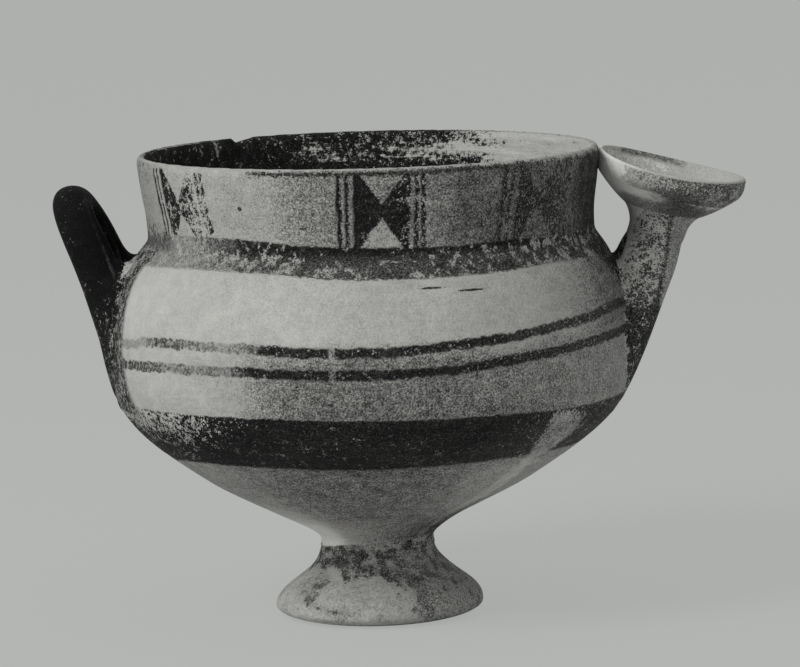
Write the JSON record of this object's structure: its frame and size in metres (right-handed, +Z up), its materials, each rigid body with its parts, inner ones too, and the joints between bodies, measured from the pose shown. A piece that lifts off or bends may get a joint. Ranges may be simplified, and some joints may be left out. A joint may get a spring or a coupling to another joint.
{
  "type": "two-handled bowl",
  "caption": "Deep pottery bowl on a flaring hollow foot, with upright loop handles, one of which carries a small open cup on a stem.",
  "frame": {"origin": "under the middle of the whole outline, on the surface that the foot stands on", "axes": "+Z up along the bowl's axis, +X towards the handle that carries the cup, -Y towards the decorated front"},
  "size_m": [0.3648, 0.2748, 0.248],
  "materials": {
    "slip_clay": "matt pale slip over fired clay, with worn dark painted bands and panels",
    "dark_paint": "matt dark paint over fired clay, with a few flecks worn through",
    "flecked_paint": "dark paint over fired clay, heavily flecked where it has flaked",
    "worn_cup": "pale clay with thin worn dark paint"
  },
  "bodies": {
    "root": {"bowl": "slip_clay", "foot": "slip_clay", "foot_luting_ring": "slip_clay", "left_handle": "dark_paint", "left_front_root": "dark_paint", "left_back_root": "dark_paint", "right_handle": "flecked_paint", "right_front_root": "dark_paint", "right_back_root": "dark_paint", "cup_stem": "flecked_paint", "handle_cup": "worn_cup"}
  },
  "joints": []
}
